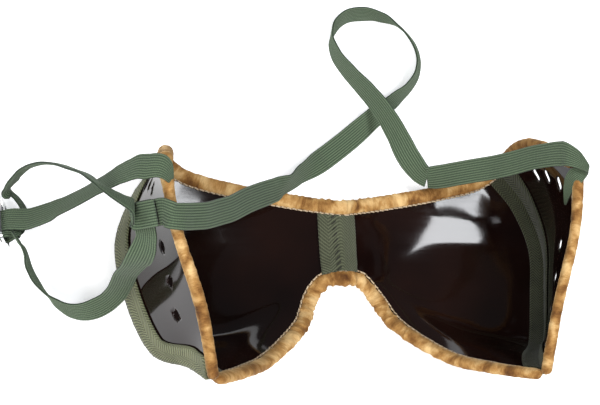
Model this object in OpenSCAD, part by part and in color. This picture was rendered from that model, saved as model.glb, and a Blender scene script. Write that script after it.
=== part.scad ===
// Folding sand goggles, lying on their front panes with the face opening up.
// +X is the wearer's own left-hand side of the photographed view, +Y is the brow, +Z is the face side.
// The origin is on the table, under the middle of the goggles. Sizes are in millimetres.

/* [Goggles] */
// Width over the outer seams
goggle_w = 175; // [150:1:200]
// Height from the chin corners to the brow
goggle_h = 96; // [84:1:108]
// Depth of a side pane, from the front pane to the temple corner
side_depth = 60; // [50:1:70]
// How far the middle of a front pane bows outward
lens_bow = 3.5; // [1.5:0.5:6]

/* [Panes] */
// Thickness of the tinted sheet
lens_t = 1; // [0.6:0.1:1.4]
// Distance from the middle of a binding to the pane edge that it holds
lens_inset = 0.7; // [0.5:0.1:1.2]
// Distance from the line of a seam to the pane edge
seam_inset = 1; // [0.8:0.1:1.6]

/* [Vents] */
// Length of a slanted vent slot
slot_l = 8; // [5:0.5:10]
// Width of a slanted vent slot
slot_w = 3; // [2:0.1:3.4]
// Distance between the slots
slot_pitch = 5.2; // [4.4:0.1:6.5]
// Number of slots in a side pane
slot_count = 3; // [2:1:3]
// Diameter of a round vent hole
hole_d = 3.6; // [2.5:0.1:5]
// Number of round holes in a side pane
hole_count = 3; // [2:1:3]

/* [Velvet binding] */
// Width of the binding, across the pane's edge
binding_w = 5.6; // [4.8:0.1:6.4]
// Thickness of the binding, through the pane
binding_t = 4.4; // [3.6:0.1:5]
// Length of the temple binding that stands beyond the temple corner
knob_l = 2; // [1:0.5:6]

/* [Tapes] */
// Width of the seam tape on each pane
tape_w = 7; // [6:0.5:11]
// Thickness of a tape
tape_t = 0.7; // [0.5:0.1:1]
// Gap between a tape and the pane that it is sewn to
tape_gap = 0.4; // [0.3:0.05:0.5]
// Width of the bridge tape
bridge_tape_w = 14; // [10:0.5:18]

/* [Strap] */
// Width of the elastic strap
strap_w = 9.5; // [8:0.1:10]
// Thickness of the elastic strap
strap_t = 1; // [0.8:0.1:1.2]
// Length of the strap end that is sewn inside a side pane
tab_l = 12; // [8:1:16]

/* [Slide buckle] */
// Length of the slide, along its bars
slide_l = 20; // [18:0.5:24]
// Width of the slide, across its bars
slide_w = 10.5; // [10.5:0.5:12]
// Thickness of the slide's sheet metal
slide_t = 1; // [0.8:0.1:1.4]
// Width of the slide's metal at the ends of its slots
rail_w = 1.2; // [1:0.1:1.8]

/* [Hidden] */

lens_tint = [0.13, 0.04, 0.05, 0.9];
velvet_tan = [0.62, 0.44, 0.2];
tape_olive = [0.33, 0.36, 0.24];
strap_green = [0.26, 0.36, 0.27];
slide_steel = [0.75, 0.76, 0.75];

// The outline was laid down at this width, height and depth, and stretches with the real ones
drawn_w = 175;
drawn_h = 96;
drawn_depth = 60;
function shaped(p) =
    [p.x * goggle_w / drawn_w, p.y * goggle_h / drawn_h, p.z * side_depth / drawn_depth];

// Corners of the right half: bridge top, nose top, brow end of the seam, temple corner, chin corner
bridge_top = shaped([0, 25.2, 9]);
nose_top = shaped([0, -2.8, 6.5]);
seam_top = shaped([70, 45.2, 4]);
temple_top = shaped([78, 27.7, 60.5]);
chin_corner = shaped([61.5, -49.3, 46.5]);

// Edges of the right half, each a smooth curve through its points
top_rim = [bridge_top, shaped([13, 28.2, 4]), shaped([41, 34.2, 0.5]), shaped([60.5, 39.2, 1]), seam_top];
nose_rim = [nose_top, shaped([7, -2.8, 3.5]), shaped([13, -9.3, 2]), shaped([19.5, -22.3, 8]),
    shaped([35, -36.8, 19]), shaped([47.5, -43.8, 32.5]), chin_corner];
seam = [chin_corner, shaped([67, -40.8, 32]), shaped([77, -32.8, 16.5]), shaped([84, -12.8, 6.5]),
    shaped([87.5, 10.7, 2.5]), shaped([81, 30.2, 3.5]), seam_top];
bridge = [nose_top, bridge_top];
side_rim = [seam_top, shaped([73, 45.2, 29.5]), temple_top];
temple = [chin_corner, shaped([66.5, -24.8, 53.5]), shaped([75, 3.2, 57.5]), temple_top];

function unit(v) = v / norm(v);
function square_to(v, t) = v - (v * t) * t;
function mirrored(p) = [-p.x, p.y, p.z];

// Point at t from 0 to 1 on a smooth curve through the points P
function along(P, t) =
    let (n = len(P) - 1, s = t * n, i = max(0, min(floor(s), n - 1)), f = s - i,
        b = P[i], c = P[i + 1],
        a = i > 0 ? P[i - 1] : 2 * b - c, d = i < n - 1 ? P[i + 2] : 2 * c - b)
    (2 * b + (c - a) * f + (2 * a - 5 * b + 4 * c - d) * f * f + (3 * b - a - 3 * c + d) * f * f * f) / 2;

// The front pane's middle surface: u runs from the bridge to the seam, v from the chin to the brow
function front(u, v) =
    (1 - v) * along(nose_rim, u) + v * along(top_rim, u)
    + (1 - u) * along(bridge, v) + u * along(seam, v)
    - (1 - u) * (1 - v) * nose_top - (1 - u) * v * bridge_top
    - u * (1 - v) * chin_corner - u * v * seam_top
    + [0, 0, lens_bow * 16 * u * (1 - u) * v * (1 - v)];

// The side pane's middle surface: u runs from the seam to the temple edge, v from the chin corner up
function side(u, v) =
    (1 - u) * along(seam, v) + u * along(temple, v)
    + v * (along(side_rim, u) - (1 - u) * seam_top - u * temple_top);

function pane(k, u, v) = k == 0 ? front(u, v) : side(u, v);
du = 0.002;
function across(k, u, v) = (pane(k, u + du, v) - pane(k, u - du, v)) / (2 * du);
function upward(k, u, v) = (pane(k, u, v + du) - pane(k, u, v - du)) / (2 * du);
// The face-side normal of a pane
function inward(k, u, v) = unit(cross(across(k, u, v), upward(k, u, v)));
function off(k, u, v, d) = pane(k, u, v) + d * inward(k, u, v);

// Steps of u or v that move a point this far, square to the edge that it leaves
function step_u(k, u, v, mm) = mm / norm(square_to(across(k, u, v), unit(upward(k, u, v))));
function step_v(k, u, v, mm) = mm / norm(square_to(upward(k, u, v), unit(across(k, u, v))));

// A solid through a list of closed rings of points, each closed off by the triangles of cap
module loft(rings, cap) {
    m = len(rings[0]);
    n = len(rings);
    walls = [for (i = [0:n - 2], j = [0:m - 1])
        let (a = i * m + j, b = i * m + (j + 1) % m) each [[a, b, b + m], [a, b + m, a + m]]];
    first = [for (f = cap) [f[2], f[1], f[0]]];
    last = [for (f = cap) [for (k = f) k + (n - 1) * m]];
    polyhedron(points = [for (r = rings) each r], faces = concat(walls, first, last));
}
// Triangles that close a ring made of k points out and k points back
function strip_cap(k) = [for (j = [0:k - 2])
    each [[j, j + 1, 2 * k - 2 - j], [j, 2 * k - 2 - j, 2 * k - 1 - j]]];
function back_to_front(P) = [for (j = [len(P) - 1:-1:0]) P[j]];

// Panes

lens_cols = 14;
lens_rows = 14;
side_cols = 6;
side_rows = 12;
// The side pane starts this far up its temple edge, where it is wide enough to cut
side_foot = 0.09;
// The front pane's corner is cut back this far from the chin corner, clear of the temple binding
chin_gap = 4.5;

function front_uv(i, j) =
    let (u = i / lens_cols, v = j / lens_rows,
        u0 = step_u(0, 0, v, lens_inset), u1 = 1 - step_u(0, 1, v, seam_inset),
        v0 = step_v(0, u, 0, lens_inset) + pow(u, 8) * chin_gap / norm(upward(0, 1, 0)),
        v1 = 1 - step_v(0, u, 1, lens_inset))
    [u0 + u * (u1 - u0), v0 + v * (v1 - v0)];
function side_uv(i, j) =
    let (u = i / side_cols, v1 = 1 - step_v(1, u, 1, lens_inset),
        v = side_foot + j / side_rows * (v1 - side_foot),
        u0 = step_u(1, 0, v, seam_inset), u1 = 1 - step_u(1, 1, v, lens_inset))
    [u0 + u * (u1 - u0), v];

front_grid = [for (j = [0:lens_rows]) [for (i = [0:lens_cols]) front_uv(i, j)]];
side_grid = [for (j = [0:side_rows]) [for (i = [0:side_cols]) side_uv(i, j)]];
function sheet_rings(k, grid) = [for (row = grid) concat(
    [for (q = row) off(k, q.x, q.y, -lens_t / 2)],
    back_to_front([for (q = row) off(k, q.x, q.y, lens_t / 2)]))];
front_rings = sheet_rings(0, front_grid);
side_rings = sheet_rings(1, side_grid);

module front_lens() {
    color(lens_tint) loft(front_rings, strip_cap(lens_cols + 1));
}

// Places its children on the side pane, with their Z through the sheet and their Y up the temple edge
module on_side(u, v) {
    z = inward(1, u, v);
    y = unit(upward(1, u, v));
    x = cross(y, z);
    p = side(u, v);
    multmatrix([[x.x, y.x, z.x, p.x], [x.y, y.y, z.y, p.y], [x.z, y.z, z.z, p.z]]) children();
}
slot_u = 0.5;
slot_v = 0.86;
slot_slant = 24;
cutter_l = 8;
module vent_slot() {
    rotate([0, 0, 90 - slot_slant]) {
        for (s = [-1, 1]) translate([0, s * (slot_l - slot_w) / 2, 0])
            cylinder(d = slot_w, h = cutter_l, center = true, $fn = 32);
        cube([slot_w, slot_l - slot_w, cutter_l], center = true);
    }
}
hole_u = 0.82;
hole_v = [0.72, 0.56, 0.4];
module side_lens() {
    color(lens_tint) difference() {
        loft(side_rings, strip_cap(side_cols + 1));
        on_side(slot_u, slot_v)
            for (k = [0:slot_count - 1])
                translate([0, -k * slot_pitch, 0]) vent_slot();
        for (k = [0:hole_count - 1])
            on_side(hole_u, hole_v[k]) cylinder(d = hole_d, h = cutter_l, center = true, $fn = 32);
    }
}

// Velvet bindings

// The binding's section is an oval that is open towards the pane and takes its edge
arc_points = 10;
slit = lens_t / 2 + 0.2;
slit_floor = lens_inset - 0.4;
mouth = asin(slit / (binding_t / 2));
section = concat(
    [for (k = [0:arc_points]) let (a = mouth + k * (360 - 2 * mouth) / arc_points)
        [cos(a) * binding_w / 2, sin(a) * binding_t / 2]],
    [[slit_floor, -slit], [slit_floor, slit]]);
section_cap = concat(
    [for (k = [0:arc_points / 2 - 1]) [arc_points + 2, k, k + 1]],
    [[arc_points + 2, arc_points / 2, arc_points + 1]],
    [for (k = [arc_points / 2:arc_points - 1]) [arc_points + 1, k, k + 1]]);
// One ring at the point p, open towards w, with the pane's normal n
function ring_at(p, w, n) = [for (s = section) p + s.x * w + s.y * n];
// The ring at a strip's middle end, square to the goggles' width
function middle_ring(p, w, n) = ring_at(p, unit(square_to(w, [1, 0, 0])), unit(square_to(n, [1, 0, 0])));

end_gap = 0.3;
butt = binding_w / 2 + end_gap;
top_steps = 14;
top_from = step_u(0, 0, 1, end_gap);
// The strip stops short of the seam, clear of the side pane as it folds in
fold_gap = 2;
top_to = 1 - step_u(0, 1, 1, fold_gap);
top_rings = [for (i = [0:top_steps])
    let (u = top_from + i / top_steps * (top_to - top_from), t = unit(across(0, u, 1)),
        w = -unit(square_to(upward(0, u, 1), t)), n = inward(0, u, 1))
    i == 0 ? middle_ring(front(u, 1), w, n) : ring_at(front(u, 1), w, n)];
module top_binding() {
    color(velvet_tan) loft(back_to_front(top_rings), section_cap);
}

bottom_steps = 26;
bottom_from = step_u(0, 0, 0, end_gap);
// The strip stops short of the chin corner, where the temple strip lies across its end
bottom_to = 1 - (chin_gap + 2 * end_gap) / norm(across(0, 1, 0));
bottom_rings = [for (i = [0:bottom_steps])
    let (u = bottom_from + i / bottom_steps * (bottom_to - bottom_from), t = unit(across(0, u, 0)),
        w = unit(square_to(upward(0, u, 0), t)), n = inward(0, u, 0))
    i == 0 ? middle_ring(front(u, 0), w, n) : ring_at(front(u, 0), w, n)];
module bottom_binding() {
    color(velvet_tan) loft(bottom_rings, section_cap);
}

rim_steps = 8;
rim_from = butt / norm(across(1, 0, 1));
rim_to = 1 - butt / norm(across(1, 1, 1));
rim_rings = [for (i = [0:rim_steps])
    let (u = rim_from + i / rim_steps * (rim_to - rim_from), t = unit(across(1, u, 1)))
    ring_at(side(u, 1), -unit(square_to(upward(1, u, 1), t)), inward(1, u, 1))];
module side_binding() {
    color(velvet_tan) loft(back_to_front(rim_rings), section_cap);
}

temple_steps = 16;
temple_ring = function (v, more)
    let (q = max(v, side_foot), t = unit(upward(1, 1, q)), w = -unit(square_to(across(1, 1, q), t)))
    ring_at(side(1, v) + more * t, w, inward(1, 1, q));
temple_rings = concat([for (j = [0:temple_steps]) temple_ring(j / temple_steps, 0)],
    [temple_ring(1, knob_l)]);
module temple_binding() {
    color(velvet_tan) loft(temple_rings, section_cap);
}

// Seam tapes, folded lengthwise over the seam

tape_rows = 20;
tape_foot = 0.1;
tape_margin = butt + 0.4;
tape_head = 1 - step_v(0, 1, 1, tape_margin);
tape_near = lens_t / 2 + tape_gap;
tape_far = tape_near + tape_t;
// One layer of the tape at height v: over the front pane, round the corner and over the side pane
function tape_layer(v, d) =
    let (a = step_u(0, 1, v, tape_w), b = min(step_u(1, 0, v, tape_w), 1 - step_u(1, 1, v, tape_margin)),
        nf = inward(0, 1, v), ns = inward(1, 0, v),
        corner = front(1, v) + d * (nf + ns) / (1 + nf * ns))
    [off(0, 1 - a, v, d), off(0, 1 - a / 2, v, d), corner, off(1, b / 2, v, d), off(1, b, v, d)];
function tape_rings(s) = [for (j = [0:tape_rows])
    let (v = tape_foot + j / tape_rows * (tape_head - tape_foot))
    concat(tape_layer(v, s * tape_near), back_to_front(tape_layer(v, s * tape_far)))];
module inner_tape() {
    color(tape_olive) loft(back_to_front(tape_rings(1)), strip_cap(5));
}
module outer_tape() {
    color(tape_olive) loft(tape_rings(-1), strip_cap(5));
}

// Bridge tapes, one on each face of the panes

bridge_rows = 8;
bridge_foot = step_v(0, 0, 0, tape_margin);
bridge_head = 1 - step_v(0, 0, 1, tape_margin);
function bridge_layer(v, d) =
    let (a = step_u(0, 0, v, bridge_tape_w / 2), n = inward(0, 0, v), up = unit([0, n.y, n.z]),
        half = [off(0, a, v, d), off(0, a / 2, v, d)])
    [mirrored(half[0]), mirrored(half[1]), front(0, v) + up * d / (up * n), half[1], half[0]];
function bridge_rings(s) = [for (j = [0:bridge_rows])
    let (v = bridge_foot + j / bridge_rows * (bridge_head - bridge_foot))
    concat(bridge_layer(v, s * tape_near), back_to_front(bridge_layer(v, s * tape_far)))];
module bridge_tape_inner() {
    color(tape_olive) lifted() loft(back_to_front(bridge_rings(1)), strip_cap(5));
}
module bridge_tape_outer() {
    color(tape_olive) lifted() loft(bridge_rings(-1), strip_cap(5));
}

// The goggles rest on the table at their lowest point
lowest = min([for (rings = [front_rings, top_rings, bottom_rings, tape_rings(-1)], r = rings, p = r) p.z]);
function raised(p) = p - [0, 0, lowest];
module lifted() { translate([0, 0, -lowest]) children(); }
module left() { mirror([1, 0, 0]) children(); }

// Elastic strap

// A flat band through points of its middle line, each given with the direction of the band's width
band_cap = [[0, 1, 2], [0, 2, 3]];
function band_ring(R, i) =
    let (t = unit(R[min(i + 1, len(R) - 1)][0] - R[max(i - 1, 0)][0]),
        w = unit(square_to(R[i][1], t)) * strap_w / 2, h = cross(t, unit(w)) * strap_t / 2, p = R[i][0])
    [p - w - h, p + w - h, p + w + h, p - w + h];
// The stretch of the route R from its point a to its point b
module band(R, a, b) {
    color(strap_green) loft([for (i = [a:b]) band_ring(R, i)], band_cap);
}
// Squares an axis system to z, with its X as near x as that allows
function axes(x, z) = let (k = unit(z), i = unit(square_to(x, k))) [i, cross(k, i), k];
function placed(p, A, q) = p + q.x * A[0] + q.y * A[1] + q.z * A[2];
module set_at(p, A) {
    multmatrix([for (r = [0:2]) [A[0][r], A[1][r], A[2][r], p[r]]]) children();
}

// A sewn strap end lies inside a side pane and bends over the temple binding
tab_v = 0.915;
tab_turn = [90:-30:0];
tab_lift = strap_t / 2 + end_gap + 0.2;
tab_rest = binding_t / 2 + tab_lift;
function tab_route() =
    let (t = unit(upward(1, 1, tab_v)), out = unit(square_to(across(1, 1, tab_v), t)),
        n = inward(1, 1, tab_v), c = side(1, tab_v),
        u1 = 1 - step_u(1, 1, tab_v, binding_w / 2 + strap_t),
        u0 = 1 - step_u(1, 1, tab_v, binding_w / 2 + tab_l))
    [for (p = [off(1, u0, tab_v, tab_rest), off(1, (u0 + u1) / 2, tab_v, tab_rest),
            off(1, u1, tab_v, tab_rest),
            for (a = tab_turn) c + n * tab_rest * sin(a)
                + out * (binding_w / 2 + tab_lift) * cos(a)]) [raised(p), t]];
left_tab = [for (r = tab_route()) [mirrored(r[0]), mirrored(r[1])]];
right_tab = back_to_front(tab_route());
tab_end = len(left_tab) - 1;

// Slide buckle with two slots and a centre bar

slide_at = [-130.6, 18.4, 8.8];
slide_axes = axes([-0.03, 0.93, -0.36], [0.94, 0.15, 0.3]);
bar_w = 2;
bar_play = 0.2;
slot_h = (slide_w - bar_w) / 2 - 1.2;
corner_r = 2;
function at_slide(x, y, z) = placed(slide_at, slide_axes, [x, y, z]);
function slide_way(x, y, z) = placed([0, 0, 0], slide_axes, [x, y, z]);
module stadium(l, w) {
    for (s = [-1, 1]) translate([s * (l - w) / 2, 0]) circle(d = w, $fn = 32);
    square([l - w, w], center = true);
}
module slide_frame() {
    color(slide_steel) set_at(slide_at, slide_axes)
        linear_extrude(slide_t, center = true) difference() {
            hull() for (a = [-1, 1], b = [-1, 1])
                translate([a * (slide_l / 2 - corner_r), b * (slide_w / 2 - corner_r)])
                    circle(corner_r, $fn = 32);
            for (s = [-1, 1]) translate([0, s * (bar_w + slot_h) / 2])
                square([slide_l - 2 * rail_w, slot_h], center = true);
        }
}
// The strap's far end, folded round the centre bar and sewn to itself
wrap_in = slide_t / 2 + bar_play;
wrap_out = 3.2;
wrap_drop = (slide_l - strap_w) / 2 - rail_w - end_gap;
module slide_wrap() {
    color(strap_green) set_at(slide_at, slide_axes) translate([-wrap_drop, 0, 0])
        rotate([0, 90, 0]) linear_extrude(strap_w, center = true) difference() {
            translate([(wrap_in + strap_t - wrap_out) / 2, 0])
                stadium(wrap_in + strap_t + wrap_out, bar_w + 2 * (bar_play + strap_t));
            square([2 * wrap_in, bar_w + 2 * bar_play], center = true);
        }
}

// The long strap's sewn end, a flat loop that the free strap runs through

loop_at = [-86, 7, 56.5];
loop_axes = axes([0.6, 0, 0.8], [-0.19, 0.945, 0.255]);
loop_l = strap_w + 3;
loop_gap = strap_t + 1;
function at_loop(x, y, z) = placed(loop_at, loop_axes, [x, y, z]);
function loop_way(x, y, z) = placed([0, 0, 0], loop_axes, [x, y, z]);
module strap_end_loop() {
    color(strap_green) set_at(loop_at, loop_axes)
        linear_extrude(strap_w, center = true) difference() {
            stadium(loop_l + 2 * strap_t, loop_gap + 2 * strap_t);
            stadium(loop_l, loop_gap);
        }
}

// The free strap: from the left tab to the slide, round its bar, up through the loop and back

bar_pass = bar_w / 2 + bar_play + 1.5 * strap_t + end_gap;
bar_turn = wrap_in + 1.5 * strap_t + end_gap;
// The free strap lies this far below the middle of the slide
pass_drop = 1.5;
across_bar = slide_way(1, 0, 0);
across_loop = loop_way(1, 0, 0);
short_route = [
    [[-81, 21.6, 66.2], [0, 1, 0]], [[-84.3, 22.2, 65], [0, 0.98, -0.15]],
    [[-87.2, 22.7, 62], [0.05, 0.97, -0.2]], [[-90.3, 22.3, 59.5], [0.1, 0.93, -0.3]],
    [[-93.5, 21.7, 56.5], [0.15, 0.9, -0.35]], [[-96.5, 20.7, 53], [0.2, 0.85, -0.4]],
    [[-99.6, 20, 48.7], [0.2, 0.8, -0.5]], [[-105, 18.9, 40], [0.2, 0.8, -0.55]],
    [[-110.6, 18.3, 31], [0.2, 0.8, -0.5]], [[-114.5, 17.7, 25.5], [0.1, 0.9, -0.4]],
    [[-118.5, 17.5, 20.5], [0.05, 0.92, -0.38]], [[-122.5, 17.4, 16.5], [0, 0.93, -0.36]],
    [at_slide(-pass_drop, bar_pass, 3), across_bar], [at_slide(-pass_drop, bar_pass, 0), across_bar]];
return_route = [
    for (a = [0:45:180])
        [at_slide(-pass_drop, bar_pass * cos(a), -1.2 - (bar_turn - 1.2) * sin(a)), across_bar],
    [at_slide(-pass_drop, -bar_pass - 0.2, 0.9), across_bar],
    [at_slide(-pass_drop, -3.9, 3), slide_way(1, -0.2, 0)], [at_slide(-1.2, -4.4, 5.2), slide_way(0.87, -0.5, 0)],
    [at_slide(-0.2, -4.3, 6.9), slide_way(0.68, -0.74, 0)], [at_slide(2.4, -2.6, 8), slide_way(0.6, -0.8, 0)],
    [at_slide(5.6, -0.2, 7.4), slide_way(0.6, -0.8, 0)], [at_slide(8.4, 2, 5.9), slide_way(0.6, -0.8, 0)],
    [[-128.8, 30.2, 10.5], [0.25, 0.3, -0.92]],
    [[-128, 31.5, 15.5], [0.25, 0.3, -0.92]], [[-126.4, 32.6, 20.4], [0.25, 0.3, -0.92]],
    [[-123.8, 33.7, 25.4], [0.25, 0.3, -0.92]], [[-120.5, 33.7, 30.5], [0.25, 0.3, -0.92]],
    [[-116.9, 32.6, 35.6], [0.25, 0.3, -0.92]], [[-113.1, 30.2, 41.2], [0.25, 0.3, -0.92]],
    [[-109.1, 26.5, 47.7], [0.25, 0.3, -0.92]], [[-105, 22.2, 54.6], [0.25, 0.3, -0.92]],
    [[-101, 16.9, 61], [0.25, 0.3, -0.92]], [[-96.7, 14.3, 63.2], [0, 0.3, -0.93]],
    [[-92.2, 12.4, 62.2], [-0.3, 0.2, -0.9]], [at_loop(0, -1.2, 7.4), loop_way(-1, 0, 0)],
    [at_loop(0, 0, 5.5), -across_loop], [at_loop(0, 0, 0), -across_loop], [at_loop(0, 0, -6), -across_loop],
    [at_loop(0, 0.2, -8), -across_loop], [[-84.7, -3.6, 52], [-0.75, 0.2, -0.55]],
    [[-85.9, -6, 47.5], [-0.9, 0.2, -0.3]], [[-87, -6.9, 41], [-1, 0, 0]],
    [[-87.8, -6.8, 34], [-0.9, 0, 0.3]], [[-88.3, -6.9, 27], [-0.8, 0, 0.5]],
    [[-89, -8.5, 19.5], [-0.75, 0.1, 0.65]], [[-91.1, -11.1, 12.5], [-0.8, 0.25, 0.53]],
    [[-95.1, -13.5, 8.5], [-0.75, 0.4, 0.53]], [[-100.6, -15.2, 7], [-0.6, 0.42, 0.65]],
    [[-106, -14.7, 6.5], [-0.45, 0.38, 0.8]], [[-111.1, -12, 6.5], [-0.38, 0.3, 0.86]],
    [[-115.5, -7.8, 6.5], [-0.33, 0, 0.92]], [[-119.1, -3, 7], [-0.25, -0.3, 0.9]],
    [[-121.3, 1.4, 7.8], [-0.25, -0.3, 0.92]], [at_slide(-13.4, -5.8, 5.9), slide_way(-0.45, 0.7, 0.4)],
    [at_slide(-12.2, -2.6, 5.9), slide_way(-0.2, 0.3, 0.85)], [at_slide(-10.7, -0.5, 5.8), slide_way(0, 0, 1)],
    [at_slide(-wrap_drop - strap_w / 2 - 2 * end_gap, 0, 5.7), slide_way(0, 0, 1)]];
free_route = concat(left_tab, short_route, return_route);
short_end = tab_end + len(short_route);
free_end = len(free_route) - 1;
module strap_tab_left() { band(free_route, 0, tab_end); }
module strap_short() { band(free_route, tab_end, short_end); }
module strap_return() { band(free_route, short_end, free_end); }

// The long strap: from the loop over the left half, round on the table, and over the right half

left_route = [
    [at_loop(loop_l / 2 + strap_t + end_gap, 0, 0), loop_way(0, 0, 1)],
    [at_loop(loop_l / 2 + strap_t + 3.2, 0, 0), loop_way(0, 0, 1)],
    [[-76.8, 3.7, 67.3], [0, 1, 0]], [[-73.2, 3.8, 66.3], [0.1, 1, 0]],
    [[-68.8, 5.1, 62.5], [0.1, 1, 0.1]], [[-63.3, 6.9, 58], [0, 0.96, 0.25]],
    [[-57.8, 10, 52], [-0.1, 0.95, 0.25]], [[-51.8, 13.4, 46], [-0.15, 0.95, 0.25]],
    [[-43.7, 19.5, 37], [-0.25, 0.92, 0.25]], [[-35.7, 24.9, 28], [-0.3, 0.9, 0.3]],
    [[-28.7, 29.3, 20.5], [-0.25, 0.8, 0.55]], [[-21.9, 33.9, 14.5], [-0.25, 0.2, 0.95]],
    [[-15.2, 39.9, 9.3], [-0.2, 0.6, 0.77]], [[-4.4, 47.9, 4.6], [-0.25, 0.95, 0.2]]];
loop_route = [
    [[8, 57.7, 3.2], [-0.35, 0.9, 0.25]],
    [[19, 67.2, 3.6], [-0.45, 0.7, 0.55]], [[27, 73.7, 5], [-0.48, 0.3, 0.83]],
    [[34, 79.7, 5.3], [-0.45, 0, 0.89]], [[38.7, 86.2, 5.3], [-0.45, -0.1, 0.89]],
    [[40.3, 93.7, 5.3], [-0.45, -0.25, 0.86]], [[38.5, 101.2, 5.3], [-0.45, -0.3, 0.84]],
    [[33, 108.2, 5.3], [-0.4, -0.3, 0.87]], [[25, 112.2, 5.3], [-0.27, 0, 0.96]],
    [[17, 113.2, 5.3], [-0.25, 0.2, 0.95]], [[10, 111.7, 5.3], [-0.27, 0.18, 0.95]],
    [[5, 107.2, 5.3], [-0.3, 0.12, 0.94]], [[2.3, 100.2, 6], [-0.1, 0.1, 0.99]],
    [[4, 92.2, 7.2], [0.05, 0.1, 0.99]], [[9, 83.7, 9], [0.15, 0.2, 0.96]],
    [[15, 74.7, 11.5], [0.33, 0.2, 0.92]], [[20, 66.2, 13.3], [0.4, 0.3, 0.87]],
    [[24.5, 57.2, 13.5], [0.57, 0.28, 0.78]], [[29, 47.2, 13], [0.8, 0.4, 0.45]],
    [[33.5, 40.7, 12.5], [0.6, 0.2, 0.78]]];
right_route = [
    [[36.4, 38.3, 13], [0.1, 0.5, 0.86]], [[40.6, 37.3, 17.5], [0.05, 0.8, 0.6]],
    [[45.6, 36.5, 24], [0.05, 0.92, 0.35]], [[50.3, 35.9, 29.5], [0.05, 0.94, 0.3]],
    [[54.8, 35.2, 35], [0.05, 0.95, 0.3]], [[58.1, 34.4, 41], [0.1, 0.94, 0.32]],
    [[61.6, 34, 46.5], [0.15, 0.93, 0.33]], [[64.6, 33.6, 52], [0.17, 0.93, 0.33]],
    [[67.4, 32.7, 57.5], [0.18, 0.93, 0.33]], [[69.8, 31.8, 62], [0.15, 0.94, 0.31]],
    [[71.9, 30.6, 65.6], [0.1, 0.95, 0.3]], [[74.2, 29, 68.2], [0.05, 0.97, 0.25]],
    [[76.6, 27.3, 69.6], [0, 0.98, 0.2]], [[78.8, 25.5, 70.1], [0, 0.99, 0.18]],
    [[80.9, 24.4, 69.5], [0, 0.99, 0.15]], [[81.7, 23.5, 68], [0, 0.99, 0.1]],
    [[80.9, 22.6, 66.7], [0, 0.99, 0.1]], [[79.4, 22, 66.2], [0, 0.99, 0.1]]];
long_route = concat(left_route, loop_route, right_route, right_tab);
left_end = len(left_route) - 1;
loop_end = left_end + len(loop_route) + 1;
right_end = left_end + len(loop_route) + len(right_route) + 1;
long_end = len(long_route) - 1;
module strap_long_left() { band(long_route, 0, left_end); }
module strap_long_loop() { band(long_route, left_end, loop_end); }
module strap_long_right() { band(long_route, loop_end, right_end); }
module strap_tab_right() { band(long_route, right_end, long_end); }

lifted() front_lens();  // front_lens_right
lifted() side_lens();  // side_lens_right
lifted() top_binding();  // top_binding_right
lifted() side_binding();  // side_binding_right
lifted() temple_binding();  // temple_binding_right
lifted() bottom_binding();  // bottom_binding_right
lifted() outer_tape();  // outer_tape_right
lifted() inner_tape();  // inner_tape_right
strap_tab_right();
lifted() left() front_lens();  // front_lens_left
lifted() left() side_lens();  // side_lens_left
lifted() left() top_binding();  // top_binding_left
lifted() left() side_binding();  // side_binding_left
lifted() left() temple_binding();  // temple_binding_left
lifted() left() bottom_binding();  // bottom_binding_left
lifted() left() outer_tape();  // outer_tape_left
lifted() left() inner_tape();  // inner_tape_left
strap_tab_left();
bridge_tape_inner();
bridge_tape_outer();
strap_short();
strap_return();
strap_end_loop();
strap_long_left();
strap_long_loop();
strap_long_right();
slide_frame();
slide_wrap();
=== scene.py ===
# Folding sand goggles lying on their front panes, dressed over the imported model.
# Shapes are in millimetres and turn into metres where a mesh is made.
import math

import bmesh
import bpy
import numpy as np
from mathutils import Matrix, Vector, noise


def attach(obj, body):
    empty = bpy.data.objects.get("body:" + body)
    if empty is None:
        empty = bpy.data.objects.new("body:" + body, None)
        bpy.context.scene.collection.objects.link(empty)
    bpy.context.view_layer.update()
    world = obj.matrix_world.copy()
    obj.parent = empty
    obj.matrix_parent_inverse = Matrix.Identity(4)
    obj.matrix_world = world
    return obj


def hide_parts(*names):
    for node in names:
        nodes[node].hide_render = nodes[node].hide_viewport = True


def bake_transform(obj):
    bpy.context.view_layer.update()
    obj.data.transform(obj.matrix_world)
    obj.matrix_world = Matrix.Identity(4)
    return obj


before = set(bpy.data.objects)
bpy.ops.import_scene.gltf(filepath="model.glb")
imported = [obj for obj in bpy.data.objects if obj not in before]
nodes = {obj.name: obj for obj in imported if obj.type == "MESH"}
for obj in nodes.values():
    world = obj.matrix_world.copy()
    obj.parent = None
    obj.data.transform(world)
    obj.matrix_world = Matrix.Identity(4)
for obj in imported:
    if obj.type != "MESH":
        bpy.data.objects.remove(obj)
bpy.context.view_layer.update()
scene = bpy.context.scene
scene.view_settings.view_transform = "Standard"


# Small vector helpers
def vec(*p):
    return np.array(p, float)


def unit(v):
    return v / np.linalg.norm(v)


def squareTo(v, t):
    return v - (v @ t) * t


def axesOf(x, z):
    k = unit(vec(*z))
    i = unit(squareTo(vec(*x), k))
    return np.array([i, np.cross(k, i), k])


def placed(at, axes, p):
    return vec(*at) + vec(*p) @ axes


# The camera stands where the picture was taken from
print("stage: camera")
cameraSet = {
    "at": (-150.3, -133.02, 507.39),
    "back": (-0.248, -0.298, 0.922),
    "right": (0.969, -0.060, 0.241),
    "lens": 82.2,
    "sensor": 36,
    "near": 0.01,
}


def makeCamera(s):
    data = bpy.data.cameras.new("camera")
    data.lens = s["lens"]
    data.sensor_width = s["sensor"]
    data.clip_start = s["near"]
    cam = bpy.data.objects.new("camera", data)
    scene.collection.objects.link(cam)
    back = unit(vec(*s["back"]))
    right = unit(squareTo(vec(*s["right"]), back))
    up = np.cross(back, right)
    turn = Matrix(np.array([right, up, back]).T.tolist()).to_4x4()
    cam.matrix_world = Matrix.Translation(Vector(vec(*s["at"]) * 0.001)) @ turn
    scene.camera = cam


makeCamera(cameraSet)


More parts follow.
